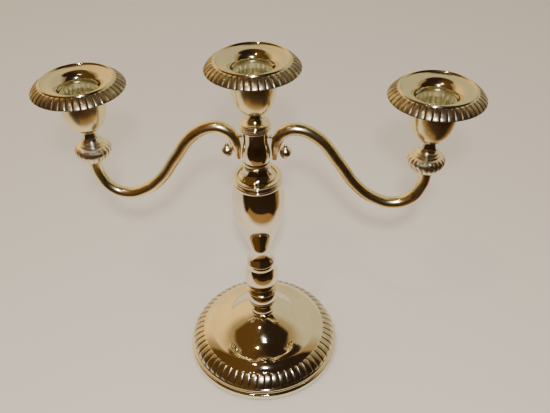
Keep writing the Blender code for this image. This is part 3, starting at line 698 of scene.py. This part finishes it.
KNOB_FLUTES = 20
KNOB_FLUTE_DEPTH = 0.9 * MM
CURL = [(0.0, 10.7), (1.2, 10.7)]
CURL += flow([(1.4, 9.9), (2.0, 8.7), (3.2, 7.5), (4.1, 6.0), (4.4, 4.4), (4.0, 2.4),
    (2.8, 0.8), (1.2, 0.15), (0.0, 0.0)])
KNOB = [(0.0, 0.0), (5.5, 0.0)] + flow([(5.9, 0.3), (7.6, 1.4), (10.2, 3.4), (12.4, 6.4),
    (13.2, 9.4), (12.6, 12.0), (10.6, 13.8), (9.0, 14.2)])
KNOB += flow([(8.6, 14.3), (8.9, 14.8), (8.6, 15.3), (8.0, 15.7)], 3) + [(2.3, 15.7),
    (2.3, 3.0), (0.0, 3.0)]
for label, side in (("left", -1), ("right", 1)):
    bent_arm(label + "_bent_arm", side, label + "_arm")
    wear(label + "_arm_peg", cast_silver)
    low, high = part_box(label + "_curl")
    curl = turned(label + "_curl_ball", fitted(CURL, label + "_curl"), cast_silver, 64, (low.x + high.x) / 2)
    settle(curl, "branch", label + "_curl")
    low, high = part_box(label + "_knob")
    on_knob = swell(low.z + 1.2 * MM, low.z + 14.3 * MM, 2.6 * MM)
    knob = ribbed(
        label + "_fluted_knob", fitted(KNOB[::-1], label + "_knob"), KNOB_FLUTES, KNOB_FLUTE_DEPTH,
        lambda radius, height: on_knob(height) if radius > 6.0 * MM else 0.0,
        axis_x=(low.x + high.x) / 2,
    )
    settle(knob, "branch", label + "_knob")
    bell(label + "_pedestal", label + "_bell")
    threaded(label + "_screw", label + "_stud", "branch")

# ---------------------------------------------------------------- cups
# A cup is a plain spun urn. Its rim carries the drip pan, and its foot is tapped for the screw.
CUP = [(0.0, 3.4), (9.2, 3.4)] + flow([(10.4, 4.3), (12.2, 7.2), (13.6, 11.4), (14.4, 17.2),
    (14.8, 25.2), (15.0, 30.2)])
CUP += flow([(15.1, 30.6), (15.5, 30.7), (15.9, 30.6), (16.0, 30.2)], 3)
CUP += flow([(15.85, 27.0), (15.65, 22.0), (15.3, 16.6), (14.4, 11.0), (12.9, 6.4), (10.9, 3.0),
    (8.4, 0.9), (5.0, 0.0)])
CUP += [(2.3, 0.0), (2.3, 2.2), (0.0, 2.2)]

# ---------------------------------------------------------------- sleeves and drip pans
# The sleeve is a crimped tube that grips the candle. The pan is pressed with a ribbed, rolled
# edge round a shallow basin, and lifts out of the cup with its sleeve to be cleaned.
SLEEVE_FLUTES = 18
SLEEVE_CRIMP = 0.75 * MM
PAN_RIBS = 42
PAN_RIB_DEPTH = 0.42 * MM
# How dark the pans' band is made all over: tarnish, and painted dark reflection of the unlit room.
PAN_BAND_TARNISH_AND_SHADE = 0.45
PAN_BAND_START = 0.796  # share of the pan's radius
SLEEVE = flow([(12.3, 20.7), (12.2, 19.6), (11.9, 17.8), (11.6, 15.4), (11.6, 9.0), (11.6, 3.0),
    (11.3, 0.0)])
SLEEVE += flow([(12.1, 0.0), (12.6, 2.0), (12.6, 9.0), (12.6, 15.0), (12.75, 17.6),
    (13.1, 19.4), (13.1, 20.3), (13.0, 20.7)])
SLEEVE += [(12.3, 20.7)]
PAN = flow([
    (13.4, 28.6), (13.4, 30.2), (13.5, 31.8), (14.0, 33.0), (15.2, 34.4), (16.9, 35.6),
        (18.9, 36.4), (21.2, 36.95),
    (23.1, 37.6),
])
PAN += flow([(23.5, 38.0), (23.9, 38.5), (24.35, 38.7), (24.8, 38.5), (25.1, 38.0)], 3)
PAN += flow([(25.3, 37.6), (26.7, 37.0), (28.4, 35.9), (29.9, 34.6), (31.1, 33.2), (31.7, 32.2)])
PAN += flow([(31.75, 32.0), (31.6, 31.7), (31.2, 31.75)], 3)
PAN += flow([(30.8, 32.2), (29.4, 33.7), (27.6, 35.2), (25.4, 36.5), (23.0, 36.5), (20.4, 35.8),
    (18.2, 34.9), (16.9, 33.4), (16.2, 31.0)], 4)
PAN += [(14.4, 31.0), (14.4, 28.6), (13.4, 28.6)]

for label in ("left", "centre", "right"):
    low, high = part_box(label + "_cup")
    axis_x = (low.x + high.x) / 2
    cup = turned(label + "_urn", fitted(CUP, label + "_cup"), brushed_silver_painted_gold, axis_x=axis_x)
    settle(cup, "branch", label + "_cup")
    low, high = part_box(label + "_sleeve")
    on_sleeve = swell(low.z + 1.0 * MM, high.z - 0.6 * MM, 3.0 * MM)
    sleeve = ribbed(
        label + "_grip_sleeve", fitted(SLEEVE, label + "_sleeve"), SLEEVE_FLUTES, SLEEVE_CRIMP,
        lambda radius, height: on_sleeve(height), columns=12, sheet=(1.0, 0.0),
        finish=satin_silver_painted_light, axis_x=axis_x,
    )
    settle(sleeve, label + "_sleeve_body", label + "_sleeve")
    low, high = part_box(label + "_pan")
    wide = (high.x - low.x) / 2
    pan = ribbed(
        label + "_drip_pan", fitted(PAN, label + "_pan"), PAN_RIBS, PAN_RIB_DEPTH,
        lambda radius, height: max(0.0, min(1.0, (radius / wide - PAN_BAND_START) / 0.03)), sheet=(0.72, 0.69),
        band_tarnish_and_shade=PAN_BAND_TARNISH_AND_SHADE, finish=dull_silver_painted_shade, axis_x=axis_x,
    )
    settle(pan, label + "_pan_body", label + "_pan")
